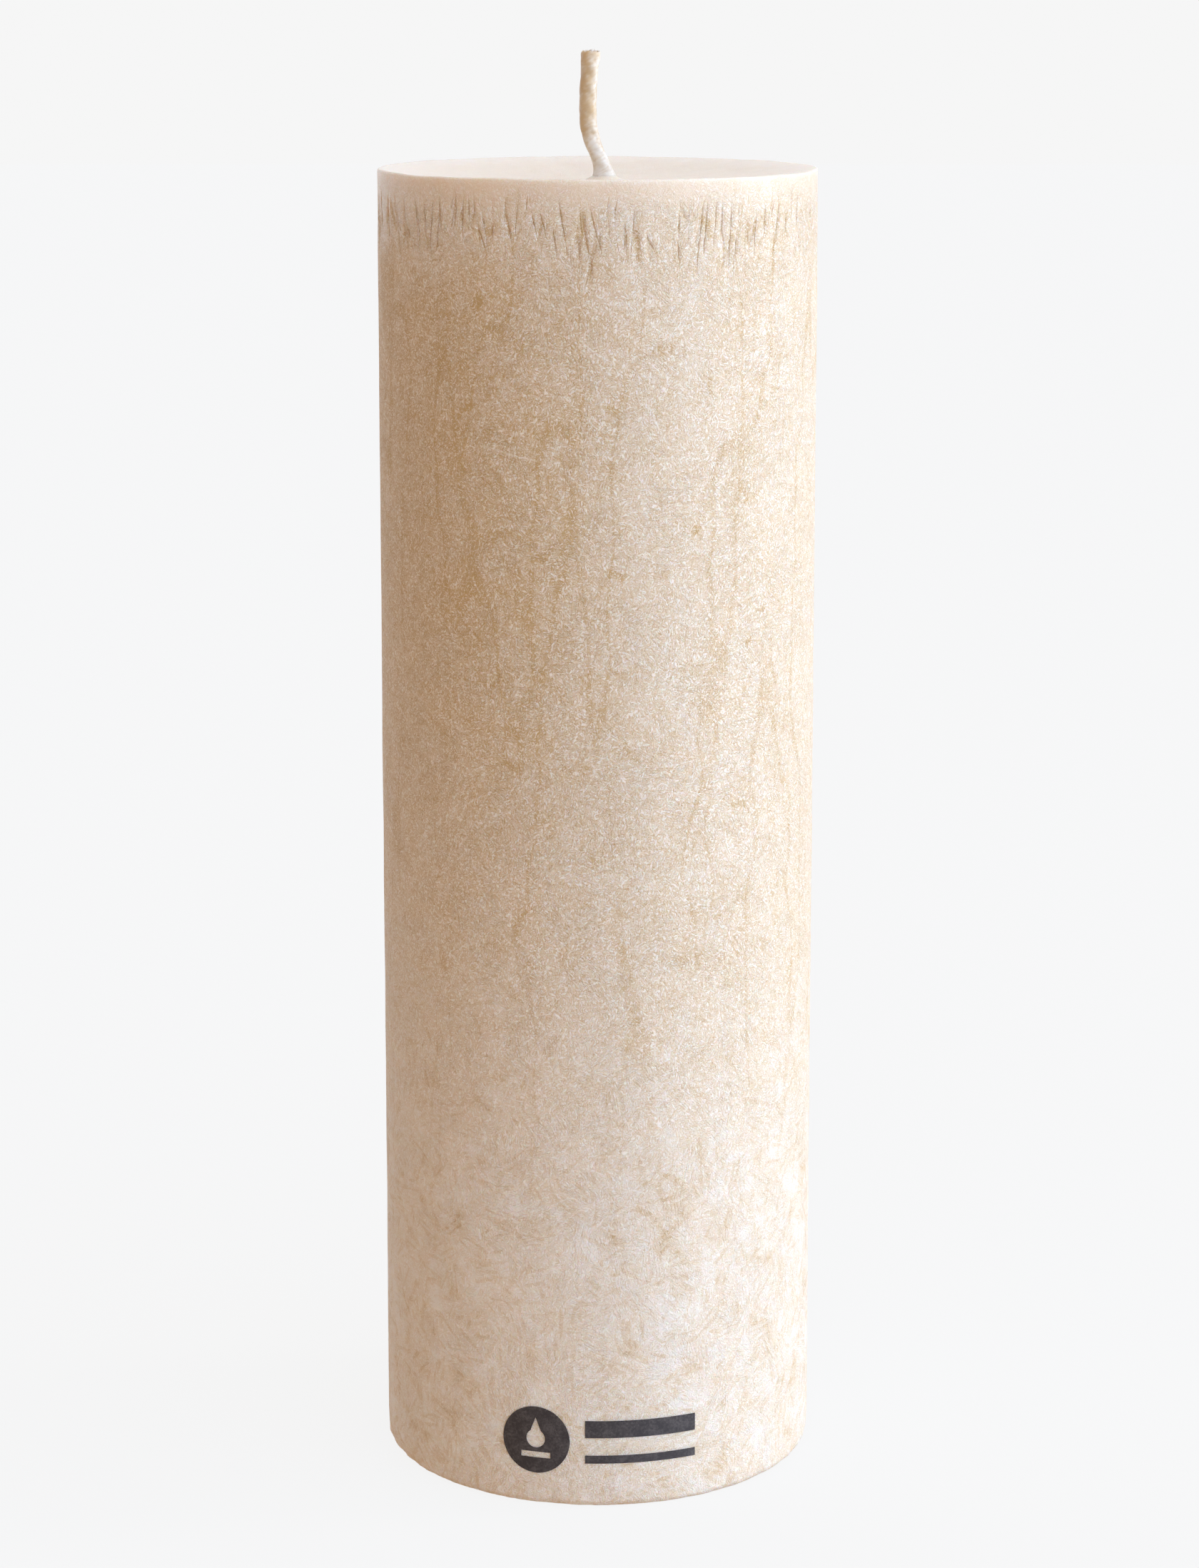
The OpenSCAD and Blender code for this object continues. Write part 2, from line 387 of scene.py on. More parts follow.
# ---------------------------------------------------------------- wick shapes
def plait_tree():
    """Leads one strand of the plait along the wick's middle line and gives it twisted yarns."""
    tree, make, given, out = new_tree("plait_strand", "GeometryNodeTree", [
        ("Middle Line", SHAPE, None), ("Pitch", NUMBER, 0.01), ("Half Width", NUMBER, 0.001),
        ("Half Depth", NUMBER, 0.001), ("Phase", NUMBER, 0.0), ("Strand Radius", NUMBER, 0.001),
        ("Yarns", NUMBER, 4.0), ("Yarn Relief", NUMBER, 0.1), ("Twist Length", NUMBER, 0.005),
        ("Tip", NUMBER, 0.2), ("Tip Gather", NUMBER, 0.1), ("Tip Swell", NUMBER, 0.4),
        ("Cotton", FINISH, None)], [("Strand", SHAPE)])
    place = make.add("GeometryNodeInputPosition").outputs[0]
    height = make.split(place)[2]
    wound = make.times(make.over(height, given["Pitch"]), TURN)
    turn = make.plus(wound, given["Phase"])
    near_tip = make.ramp(height, make.minus(given["Tip"], 1.1 * MM), given["Tip"])
    gathered = make.minus(1.0, make.times(given["Tip Gather"], near_tip))
    sway = make.product(make.math("SINE", turn), given["Half Width"], gathered)
    weave = make.product(make.math("SINE", make.times(turn, 2.0)), given["Half Depth"], gathered)
    led = make.add("GeometryNodeSetPosition", {"Geometry": given["Middle Line"],
                                               "Offset": make.join(sway, weave, 0)})
    curl = make.times(make.over(height, given["Twist Length"]), TURN)
    tilted = make.add("GeometryNodeSetCurveTilt", {"Curve": led.outputs[0], "Tilt": curl})
    swollen = make.plus(1.0, make.times(given["Tip Swell"], near_tip))
    swelled = make.add("GeometryNodeSetCurveRadius", {"Curve": tilted.outputs[0], "Radius": swollen})
    ring = make.add("GeometryNodeCurvePrimitiveCircle", {"Resolution": 24, "Radius": 1.0})
    around = make.add("GeometryNodeInputPosition").outputs[0]
    x, y, _ = make.split(around)
    angle = make.math("ARCTAN2", y, x)
    lobe = make.math("ABSOLUTE", make.math("SINE", make.product(angle, given["Yarns"], 0.5)))
    valley = make.minus(1.0, given["Yarn Relief"])
    size = make.product(given["Strand Radius"],
                        make.plus(valley, make.times(lobe, given["Yarn Relief"])))
    lobed = make.add("GeometryNodeSetPosition", {"Geometry": ring.outputs[0],
                                                 "Position": make.vector("SCALE", around, size)})
    tube = make.add("GeometryNodeCurveToMesh", {"Curve": swelled.outputs[0],
                                                "Profile Curve": lobed.outputs[0], "Fill Caps": True})
    smooth = make.add("GeometryNodeSetShadeSmooth", {0: tube.outputs[0], "Shade Smooth": True})
    whole = make.add("GeometryNodeRealizeInstances", {0: smooth.outputs[0]})
    coated = make.add("GeometryNodeSetMaterial", {"Geometry": whole.outputs[0], "Material": given["Cotton"]})
    make.feed(out[0], coated.outputs[0])
    return tree


def line_object(name, points):
    """Open curve through the points, to be grown by a geometry tree."""
    curve = bpy.data.curves.new(name, "CURVE")
    curve.dimensions = "3D"
    spline = curve.splines.new("POLY")
    spline.points.add(len(points) - 1)
    for target, point in zip(spline.points, points):
        target.co = (*point, 1)
    return link(bpy.data.objects.new(name, curve))


def wick_strands(material):
    tree = plait_tree()
    route = [wick_centre(z) for z in spread(WICK_FOOT, COAT_LIP, 0.7 * MM)]
    strands = []
    for n in range(STRANDS):
        middle = line_object(f"wick_yarns_{n + 1}", route)
        strands.append(grow(middle, tree, Pitch=PLAIT_PITCH, Half_Width=PLAIT_HALF_WIDTH,
                            Half_Depth=PLAIT_HALF_DEPTH, Phase=TURN * n / STRANDS, Strand_Radius=STRAND_R,
                            Yarns=5.0, Yarn_Relief=0.16, Twist_Length=4.5 * MM, Tip=WICK_TIP,
                            Tip_Gather=0.12, Tip_Swell=0.45, Cotton=material))
    return strands


def plait_bulge(z, angle):
    """How far the nearest strand pushes out in one direction, from the wick's middle line."""
    best = 0.0
    for n in range(STRANDS):
        turn = TURN * z / PLAIT_PITCH + TURN * n / STRANDS
        reach = (PLAIT_HALF_WIDTH * math.sin(turn) * math.cos(angle)
                 + PLAIT_HALF_DEPTH * math.sin(2 * turn) * math.sin(angle))
        best = max(best, reach + STRAND_R)
    return best


def wick_wax(material):
    """Priming wax drawn over the plait: a skin with the strands' swells, a spread foot and a torn lip."""
    rng = random.Random(RIPPLE_SEED)
    sides = 56
    ripples = [(rng.uniform(0, TURN), rng.uniform(0.5, 1.0)) for _ in range(5)]
    foot = DISH_FLOOR - 0.4 * MM
    lip = COAT_LIP
    levels = spread(foot, lip, 0.17 * MM)
    points = []

    def skin(z, angle, wall):
        swell = plait_bulge(z, angle)
        body = 0.80 * COAT_R + 0.20 * (swell + 0.16 * MM)
        foot_flare = 0.55 * MM * (1 - smooth_step(z, DISH_FLOOR + 0.6 * MM, DISH_FLOOR + 4.2 * MM)) ** 2
        tip_flare = 0.17 * MM * smooth_step(z, lip - 3.4 * MM, lip - 0.5 * MM)
        shoulder = 0.16 * MM * smooth_step(z, lip - 0.45 * MM, lip + 0.1 * MM) ** 2
        uneven = sum(size * math.sin((n + 2) * angle + start + z / MM * (0.9 + 0.35 * n))
                     for n, (start, size) in enumerate(ripples))
        return body + foot_flare + tip_flare - shoulder + 0.012 * MM * uneven - wall

    def ring(z, wall):
        torn = smooth_step(z, lip - 0.8 * MM, lip)
        for k in range(sides):
            angle = TURN * k / sides
            drop = torn * 0.09 * MM * (math.sin(3 * angle + 0.6) + 0.6 * math.sin(7 * angle + 2.1))
            level = z + drop
            reach = skin(z, angle, wall)
            side = Vector((math.cos(angle), math.sin(angle), 0))
            points.append(wick_centre(level) + side * reach)

    for z in levels:
        ring(z, 0.0)
    for z in reversed(levels):
        ring(z, COAT_WALL)
    rings = 2 * len(levels)
    faces = [(i * sides + k, i * sides + (k + 1) % sides, (i + 1) % rings * sides + (k + 1) % sides,
              (i + 1) % rings * sides + k) for i in range(rings) for k in range(sides)]
    coat = mesh_object("wick_priming_wax", points, faces, material=material)
    # painted shade: the side of the wick turned away from the window light, from just under the rim upwards,
    # is marked here to be painted darker
    wick_shade_mask = coat.data.attributes.new("thin_wax", "FLOAT", "POINT")
    for n, point in enumerate(points):
        angle = TURN * (n % sides) / sides
        side = 0.5 + 0.5 * math.cos(angle - math.radians(205))
        wick_shade_mask.data[n].value = side * smooth_step(point.z, PILLAR_H - 1 * MM, PILLAR_H + 9 * MM)
    return coat


def frayed_tip(material):
    """Short cotton fibres that stand out of the cut end of the wick."""
    rng = random.Random(FRAY_SEED)
    tip = wick_centre(WICK_TIP - 0.4 * MM)
    curve = bpy.data.curves.new("wick_fray", "CURVE")
    curve.dimensions = "3D"
    curve.bevel_depth = 0.035 * MM
    curve.bevel_resolution = 1
    curve.use_fill_caps = True
    for _ in range(34):
        angle, reach = rng.uniform(0, TURN), rng.uniform(0.1, 1.25) * MM
        start = tip + Vector((reach * math.cos(angle), reach * 0.8 * math.sin(angle), 0))
        lean = Vector((math.cos(angle), math.sin(angle), 0)) * rng.uniform(-0.1, 0.28) * MM
        rise = Vector((0, 0, rng.uniform(0.25, 0.52) * MM))
        spline = curve.splines.new("POLY")
        spline.points.add(3)
        for n, target in enumerate(spline.points):
            t = n / 3
            target.co = (*(start + rise * t + lean * t * t), 1)
            target.radius = 1 - 0.6 * t
    made = link(bpy.data.objects.new("wick_fray", curve))
    graph = bpy.context.evaluated_depsgraph_get()
    mesh = bpy.data.meshes.new_from_object(made.evaluated_get(graph))
    bpy.data.objects.remove(made)
    mesh.materials.clear()
    mesh.materials.append(material)
    return link(bpy.data.objects.new("wick_fray", mesh))


# ---------------------------------------------------------------- base plug and clip
def turned(name, outline, columns, material, centre=(0, 0), wobble=None):
    """Closed surface of revolution; the outline runs from the bottom of the axis, outwards, to its top."""
    points = [Vector((centre[0], centre[1], outline[0][1]))]
    for r, z in outline[1:-1]:
        for k in range(columns):
            angle = TURN * k / columns
            extra = wobble(r, z, angle) if wobble else 0.0
            points.append(Vector((centre[0] + r * math.cos(angle), centre[1] + r * math.sin(angle),
                                  z + extra)))
    points.append(Vector((centre[0], centre[1], outline[-1][1])))
    rings = len(outline) - 2
    faces = [(0, 1 + (k + 1) % columns, 1 + k) for k in range(columns)]
    for i in range(rings - 1):
        low, high = 1 + i * columns, 1 + (i + 1) * columns
        faces += [(low + k, low + (k + 1) % columns, high + (k + 1) % columns, high + k)
                  for k in range(columns)]
    last, top = 1 + (rings - 1) * columns, len(points) - 1
    faces += [(last + k, last + (k + 1) % columns, top) for k in range(columns)]
    return mesh_object(name, points, faces, material=material)


def filled_well(material):
    """Second pour under the clip: level at its edge, with a shrink hollow in the middle."""
    edge = PLUG_R
    hollow = 0.35 * MM

    def lower(r):
        return hollow * (1 - smooth_step(r, 0, edge * 0.86))

    outline = [(0, lower(0))] + [(r, lower(r)) for r in spread(1 * MM, edge - 0.3 * MM, 0.9 * MM)]
    outline += [(edge, 0.25 * MM), (edge, PLUG_TOP), (edge * 0.5, PLUG_TOP), (0, PLUG_TOP)]

    def wobble(r, z, angle):
        swirl = math.sin(3 * angle + r / MM) * 0.5 + math.sin(5 * angle - 0.7 * r / MM) * 0.3
        return 0.06 * MM * (1 + swirl) * smooth_step(r, 0, 5 * MM) * (z < 1 * MM)

    return turned("well_fill", outline, 96, material, (BORE_X, 0), wobble)


# ---------------------------------------------------------------- shader groups
def outward_of(make, place):
    return make.vector("NORMALIZE", make.vector("MULTIPLY", place, (1, 1, 0)))


def bent_vector(make, place, scale, reach):
    """The place pushed about smoothly, so that straight crystals bend a little."""
    push = make.add("ShaderNodeTexNoise", {"Vector": place, "Scale": scale, "Detail": 1.0}).outputs["Color"]
    centred = make.vector("SUBTRACT", push, (0.5, 0.5, 0.5))
    return make.vector("ADD", place, make.vector("SCALE", centred, reach))


def domain_group():
    """Splits space into crystal domains; each has its own direction along the wall and a chance value."""
    tree, make, given, out = new_tree("crystal_domain", "ShaderNodeTree", [
        ("Vector", VECTOR, None), ("Outward", VECTOR, None), ("Size", NUMBER, 0.005), ("Seed", NUMBER, 0.0)],
        [("Inside", VECTOR), ("Along", VECTOR), ("Across", VECTOR), ("Chance", NUMBER), ("Tint", NUMBER)])
    seeded = make.vector("ADD", given["Vector"], make.join(given["Seed"], 0, given["Seed"]))
    scaled = make.vector("SCALE", seeded, make.over(1.0, given["Size"]))
    cell = make.add("ShaderNodeTexVoronoi", {"Vector": scaled, "Scale": 1.0, "Randomness": 1.0})
    make.feed(out["Inside"], make.vector("SUBTRACT", scaled, cell.outputs["Position"]))
    any_way = make.vector("SUBTRACT", cell.outputs["Color"], (0.5, 0.5, 0.5))
    side = make.vector("NORMALIZE", make.vector("CROSS_PRODUCT", any_way, given["Outward"]))
    make.feed(out["Across"], side)
    make.feed(out["Along"], make.vector("CROSS_PRODUCT", given["Outward"], side))
    dice = make.add("ShaderNodeTexWhiteNoise", {"Vector": cell.outputs["Position"]}, noise_dimensions="3D")
    make.feed(out["Chance"], dice.outputs["Value"])
    make.feed(out["Tint"], make.split(cell.outputs["Color"])[0])
    return tree


def own_domain(make, domain, given, vector):
    """The crystal domain round a point, by the size and seed that a group was given."""
    return use_group(make, domain, Vector=vector, Outward=given["Outward"], Size=given["Domain Size"],
                     Seed=given["Seed"])


def stroke_group(domain):
    """Fine strokes that run one way in each crystal domain."""
    tree, make, given, out = new_tree("crystal_strokes", "ShaderNodeTree", [
        ("Vector", VECTOR, None), ("Outward", VECTOR, None), ("Domain Size", NUMBER, 0.004),
        ("Stroke Width", NUMBER, 0.0002), ("Stretch", NUMBER, 6.0), ("Line", NUMBER, 0.06),
        ("Seed", NUMBER, 0.0)], [("Strokes", NUMBER), ("Lines", NUMBER), ("Tint", NUMBER)])
    part = own_domain(make, domain, given, given["Vector"])
    along = make.vector("DOT_PRODUCT", part["Inside"], part["Along"])
    cut = make.minus(1.0, make.over(1.0, given["Stretch"]))
    squeezed = make.vector("SUBTRACT", part["Inside"], make.vector("SCALE", part["Along"],
                           make.times(along, cut)))
    moved = make.vector("ADD", squeezed, make.join(make.times(part["Chance"], 60.0), 0, 0))
    scale = make.over(given["Domain Size"], given["Stroke Width"])
    stroke = make.noise(moved, make.times(scale, 0.5), 1.0, 0.5)
    make.feed(out["Strokes"], make.ramp(stroke, 0.28, 0.72))
    edge = make.math("ABSOLUTE", make.minus(stroke, 0.5))
    make.feed(out["Lines"], make.ramp(edge, 0.0, given["Line"], 1.0, 0.0))
    make.feed(out["Tint"], part["Tint"])
    return tree


def fan_group(domain):
    """Rays that spread from the middle of each crystal domain, as fine ridges and as soft bands."""
    tree, make, given, out = new_tree("crystal_fans", "ShaderNodeTree", [
        ("Vector", VECTOR, None), ("Outward", VECTOR, None), ("Domain Size", NUMBER, 0.012),
        ("Rays", NUMBER, 14.0), ("Ray Width", NUMBER, 0.06), ("Seed", NUMBER, 0.0)],
        [("Rays", NUMBER), ("Bands", NUMBER)])
    part = own_domain(make, domain, given, given["Vector"])
    spoke = make.vector("NORMALIZE", part["Inside"])
    moved = make.vector("ADD", spoke, make.join(make.times(part["Chance"], 40.0), 0, 0))
    fine = make.noise(moved, given["Rays"], 1.0, 0.5)
    ridge = make.math("ABSOLUTE", make.minus(fine, 0.5))
    middle = make.ramp(make.vector("LENGTH", part["Inside"]), 0.06, 0.22)
    make.feed(out["Rays"], make.product(make.ramp(ridge, 0.0, given["Ray Width"], 1.0, 0.0), middle))
    make.feed(out["Bands"], make.noise(moved, make.times(given["Rays"], 0.45), 1.0, 0.5))
    return tree


def needle_group(domain):
    """Long needles, one across a crystal domain, and rows of barbs beside some of them."""
    tree, make, given, out = new_tree("crystal_needles", "ShaderNodeTree", [
        ("Vector", VECTOR, None), ("Outward", VECTOR, None), ("Domain Size", NUMBER, 0.015),
        ("Line Width", NUMBER, 0.0001), ("Barb Gap", NUMBER, 0.001), ("Needle Share", NUMBER, 0.5),
        ("Barb Share", NUMBER, 0.3), ("Seed", NUMBER, 0.0)],
        [("Needles", NUMBER), ("Barbs", NUMBER)])
    part = own_domain(make, domain, given, given["Vector"])
    across = make.math("ABSOLUTE", make.vector("DOT_PRODUCT", part["Inside"], part["Across"]))
    along = make.vector("DOT_PRODUCT", part["Inside"], part["Along"])
    width = make.over(given["Line Width"], given["Domain Size"])
    broken = make.ramp(make.noise(given["Vector"], 380.0, 2.0), 0.38, 0.56)
    line = make.product(make.ramp(across, make.times(width, 0.2), width, 1.0, 0.0),
                        make.math("LESS_THAN", part["Chance"], given["Needle Share"]), broken)
    make.feed(out["Needles"], line)
    count = make.over(given["Domain Size"], given["Barb Gap"])
    saw = make.math("PINGPONG", make.times(make.minus(along, across), count), 0.5)
    barb_width = make.product(width, count, 1.2)
    barbed = make.math("GREATER_THAN", part["Chance"], make.minus(1.0, given["Barb Share"]))
    barbs = make.product(make.ramp(saw, 0.0, barb_width, 1.0, 0.0),
                         make.ramp(across, 0.14, 0.42, 1.0, 0.0), broken, barbed)
    make.feed(out["Barbs"], barbs)
    return tree


def feather_group():
    """Long upright spines round the pillar, with slanted barbs on both sides."""
    tree, make, given, out = new_tree("crystal_feathers", "ShaderNodeTree", [
        ("Vector", VECTOR, None), ("Spacing", NUMBER, 0.013), ("Barb Gap", NUMBER, 0.002),
        ("Seed", NUMBER, 0.0)],
        [("Spine", NUMBER), ("Barbs", NUMBER)])
    moved = make.vector("ADD", given["Vector"], make.join(given["Seed"], 0, 0))
    tall = make.vector("MULTIPLY", moved, (1, 1, 0.13))
    path = make.noise(tall, make.over(1.0, given["Spacing"]), 1.0, 0.4)
    aside = make.math("ABSOLUTE", make.minus(path, 0.5))
    make.feed(out["Spine"], make.ramp(aside, 0.004, 0.020, 1.0, 0.0))
    rise = make.times(aside, make.times(given["Spacing"], 1.7))
    steps = make.over(make.minus(make.split(given["Vector"])[2], rise), given["Barb Gap"])
    saw = make.math("PINGPONG", steps, 0.5)
    reach = make.ramp(aside, 0.10, 0.20, 1.0, 0.0)
    make.feed(out["Barbs"], make.product(make.ramp(saw, 0.02, 0.13, 1.0, 0.0), reach))
    return tree


def cell_group():
    """Ragged frost cells: soft tan veins between them, and a paleness that differs from cell to cell."""
    tree, make, given, out = new_tree("frost_cells", "ShaderNodeTree", [
        ("Vector", VECTOR, None), ("Cell Size", NUMBER, 0.003), ("Vein Width", NUMBER, 0.0003),
        ("Ragged", NUMBER, 0.001), ("Seed", NUMBER, 0.0)], [("Veins", NUMBER), ("Pale", NUMBER)])
    torn = bent_vector(make, bent_vector(make, given["Vector"], 300.0, given["Ragged"]), 1300.0,
                       make.times(given["Ragged"], 0.5))
    moved = make.vector("ADD", torn, make.join(given["Seed"], 0, 0))
    scaled = make.vector("SCALE", moved, make.over(1.0, given["Cell Size"]))
    edge = make.add("ShaderNodeTexVoronoi", {"Vector": scaled, "Scale": 1.0}, feature="DISTANCE_TO_EDGE")
    cell = make.add("ShaderNodeTexVoronoi", {"Vector": scaled, "Scale": 1.0})
    width = make.over(given["Vein Width"], given["Cell Size"])
    make.feed(out["Veins"], make.ramp(edge.outputs["Distance"], 0.0, width, 1.0, 0.0))
    make.feed(out["Pale"], make.split(cell.outputs["Color"])[1])
    return tree


def flake_group(domain):
    """A few small flat crystals, longer than wide, with one soft and one sharp side."""
    tree, make, given, out = new_tree("crystal_flakes", "ShaderNodeTree", [
        ("Vector", VECTOR, None), ("Outward", VECTOR, None), ("Domain Size", NUMBER, 0.007),
        ("Share", NUMBER, 0.1), ("Seed", NUMBER, 0.0)],
        [("Flakes", NUMBER)])
    ragged = bent_vector(make, given["Vector"], 700.0, 1.6 * MM)
    part = own_domain(make, domain, given, ragged)
    across = make.vector("DOT_PRODUCT", part["Inside"], part["Across"])
    span = make.vector("LENGTH", part["Inside"])
    chosen = make.math("LESS_THAN", part["Chance"], given["Share"])
    sharp_side = make.ramp(across, -0.02, 0.02)
    soft_side = make.ramp(across, 0.08, 0.22, 1.0, 0.0)
    near = make.ramp(span, 0.20, 0.34, 1.0, 0.0)
    make.feed(out["Flakes"], make.product(sharp_side, soft_side, near, chosen))
    return tree


# ---------------------------------------------------------------- materials
def new_material(name, **surface):
    material = bpy.data.materials.new(name)
    material.use_nodes = True
    make = Maker(material.node_tree)
    shader = material.node_tree.nodes["Principled BSDF"]
    for key, value in surface.items():
        shader.inputs[key.replace("_", " ")].default_value = value
    return material, make, shader


def colour_mix(make, factor, low, high):
    node = make.add("ShaderNodeMix", data_type="RGBA")
    make.feed(node.inputs[0], factor)
    make.feed(node.inputs[6], low)
    make.feed(node.inputs[7], high)
    return node.outputs[2]


def bump(make, height, strength, distance):
    node = make.add("ShaderNodeBump", {"Height": height, "Strength": strength, "Distance": distance})
    return node.outputs[0]


CLEAR_WAX = (0.62, 0.43, 0.20, 1)
BODY_WAX = (0.845, 0.73, 0.57, 1)
FROST_WAX = (0.945, 0.89, 0.80, 1)
SOAKED_WAX = (0.62, 0.44, 0.26, 1)
PRIMING_WAX = (0.90, 0.84, 0.75, 1)
WAXED_COTTON = (0.62, 0.50, 0.38, 1)
CLEAN_COTTON = (0.92, 0.88, 0.82, 1)
DULL_TIN = (0.55, 0.55, 0.54, 1)
BRIGHT_TIN = (0.80, 0.80, 0.78, 1)
DENSE_INK = (0.030, 0.027, 0.030, 1)
THIN_INK = (0.085, 0.078, 0.078, 1)


def frosted_wax(groups):
    material, make, shader = new_material("frosted_wax", Roughness=0.5, IOR=1.44, Subsurface_Weight=0.35,
                                          Subsurface_Scale=2.0 * MM, Specular_IOR_Level=0.35)
    shader.inputs["Subsurface Radius"].default_value = (1.0, 0.55, 0.3)
    place = make.add("ShaderNodeTexCoord").outputs["Object"]
    outward = outward_of(make, place)
    height = make.split(place)[2]
    drop = make.minus(PILLAR_H, height)
    reach = make.vector("LENGTH", make.vector("MULTIPLY", place, (1, 1, 0)))
    on_top = make.product(make.ramp(reach, PILLAR_R - 0.9 * MM, PILLAR_R - 0.2 * MM, 1.0, 0.0),
                          make.ramp(drop, 4 * MM, 6 * MM, 1.0, 0.0))
    low_part = make.ramp(height, 95 * MM, 40 * MM)
    uneven = make.noise(place, 170.0, 3.0, 0.6)
    ragged_drop = make.plus(drop, make.times(uneven, 5 * MM))
    grainy = make.ramp(ragged_drop, 2.5 * MM, 10 * MM, 0.30, 1.0)
    grainy = make.times(grainy, make.minus(1.0, make.times(on_top, 0.5)))
    bent = bent_vector(make, place, 60.0, 5 * MM)

    def swing(value, amount):
        return make.times(make.minus(value, 0.5), amount)

    def lay(group, vector=place, **sizes):
        return use_group(make, groups[group], Vector=vector, Outward=outward, **sizes)

    fine = lay("strokes", Domain_Size=0.9 * MM, Stroke_Width=0.115 * MM, Stretch=2.6, Line=0.11, Seed=0.4)
    coarse = lay("strokes", bent, Domain_Size=5.0 * MM, Stroke_Width=0.26 * MM, Stretch=11.0, Line=0.05,
                 Seed=2.7)
    sticks = lay("strokes", bent, Domain_Size=4.2 * MM, Stroke_Width=0.38 * MM, Stretch=7.0, Seed=6.6)
    sheaf = lay("strokes", bent, Domain_Size=17 * MM, Stroke_Width=0.80 * MM, Stretch=30.0, Line=0.13,
                Seed=1.9)
    cross = lay("strokes", bent, Domain_Size=11 * MM, Stroke_Width=0.55 * MM, Stretch=24.0, Line=0.16,
                Seed=7.5)
    fans = lay("fans", bent, Domain_Size=15 * MM, Rays=9.0, Ray_Width=0.05, Seed=4.2)
    long = lay("needles", bent, Domain_Size=19 * MM, Line_Width=0.55 * MM, Barb_Gap=2.6 * MM,
               Needle_Share=0.8, Barb_Share=0.45, Seed=1.3)
    short = lay("needles", bent, Domain_Size=8 * MM, Line_Width=0.24 * MM, Barb_Gap=1.3 * MM,
                Needle_Share=0.7, Barb_Share=0.35, Seed=5.9)
    clear = lay("flakes", Domain_Size=8 * MM, Share=0.16, Seed=3.3)["Flakes"]
    white = lay("flakes", Domain_Size=3.6 * MM, Share=0.14, Seed=8.1)["Flakes"]
    cells = use_group(make, groups["cells"], Vector=place, Cell_Size=2.8 * MM, Vein_Width=0.26 * MM,
                      Ragged=1.6 * MM, Seed=0.7)
    cracks = rim_cracks(make, place, 0.09, CAST_SEED)
    clouds = make.noise(make.vector("MULTIPLY", place, (1, 1, 0.7)), 45.0, 3.0, 0.55)
    dust = make.noise(place, 3600.0, 2.0, 0.6)
    specks = make.ramp(dust, 0.62, 0.74)
    soft = make.noise(bent, 200.0, 2.0, 0.5)
    blotches = make.minus(make.ramp(soft, 0.54, 0.70), make.ramp(soft, 0.42, 0.30))
    keep = make.minus(1.0, make.times(low_part, 0.55))
    streaks = make.noise(make.vector("MULTIPLY", place, (1, 1, 0.06)), 420.0, 2.0)
    spine, barb = use_group(make, groups["feathers"], Vector=bent, Spacing=13 * MM, Barb_Gap=1.9 * MM,
                            Seed=0.2)
    band = make.product(make.ramp(drop, 3 * MM, 8 * MM), make.ramp(drop, 13 * MM, 22 * MM, 1.0, 0.0))
    # painted shade: the upper left of the wall, on the side turned away from the window light, is painted
    # darker and more tan
    painted_shade_side = make.ramp(make.vector("DOT_PRODUCT", outward, (-0.82, -0.57, 0)), 0.3, 0.98)
    painted_wall_shade = make.product(painted_shade_side, make.ramp(height, 60 * MM, 150 * MM),
                              make.ramp(drop, 6 * MM, 22 * MM))

    hairs = make.product(coarse["Lines"], make.ramp(dust, 0.38, 0.50), make.ramp(coarse["Tint"], 0.30, 0.50))
    squiggles = make.times(fine["Lines"], make.ramp(dust, 0.30, 0.56))
    barbs = make.math("MAXIMUM", long["Barbs"], short["Barbs"])
    clear_lines = ((long["Needles"], 0.42), (barbs, 0.28), (sheaf["Lines"], 0.26), (cross["Lines"], 0.24),
                   (fans["Rays"], 0.36), (hairs, 0.36), (spine, 0.44), (barb, 0.36), (cells["Veins"], 0.08))
    lines = 0.0
    for mask, weight in clear_lines:
        lines = make.math("MAXIMUM", lines, make.times(mask, weight))
    lines = make.plus(lines, make.times(short["Needles"], -0.30))
    stick = make.ramp(sticks["Strokes"], 0.58, 0.90)
    softer = make.minus(1.0, make.times(low_part, 0.50))
    grain = make.total(swing(fine["Strokes"], 0.62), swing(dust, 1.7), make.times(squiggles, -0.72),
                       make.times(specks, 0.55))
    crystals = make.total(0.34, make.times(grain, softer), make.product(lines, keep, -1.0),
                          make.product(stick, make.plus(low_part, 0.8), -0.16),
                          swing(sheaf["Strokes"], 0.06), swing(cross["Strokes"], 0.05),
                          swing(fans["Bands"], 0.09), swing(cells["Pale"], 0.12),
                          swing(coarse["Tint"], 0.06), make.times(white, 0.22), make.times(clear, -0.30))
    frost = make.total(0.60, make.times(crystals, grainy), swing(clouds, 0.09), swing(uneven, 0.05),
                       make.product(blotches, make.plus(low_part, 0.18), 0.26),
                       make.times(swing(streaks, 0.45), band),
                       # painted highlight: the colour is made paler within 1.1 mm of the rim's top edge,
                       # where the rounded edge catches the light
                       make.ramp(drop, 0.0, 1.1 * MM, 0.22, 0.0), make.times(on_top, 0.10),
                       # the painted shade on the upper left wall darkens the colour here
                       make.times(cracks, -0.33), make.times(painted_wall_shade, -0.36))
    lower = make.ramp(frost, -0.45, 0.60)
    upper = make.ramp(frost, 0.40, 1.1)
    base = colour_mix(make, upper, colour_mix(make, lower, CLEAR_WAX, BODY_WAX), FROST_WAX)
    make.feed(shader.inputs["Base Color"], base)
    relief = make.total(make.times(squiggles, -0.8), make.times(coarse["Strokes"], 0.2),
                        make.times(dust, 0.5), make.times(hairs, -0.7),
                        make.times(cracks, -2.0))
    make.feed(shader.inputs["Normal"], bump(make, make.times(relief, grainy), 0.8, 0.14 * MM))
    make.feed(shader.inputs["Roughness"], make.ramp(ragged_drop, 8 * MM, 18 * MM, 0.22, 0.58))
    return material


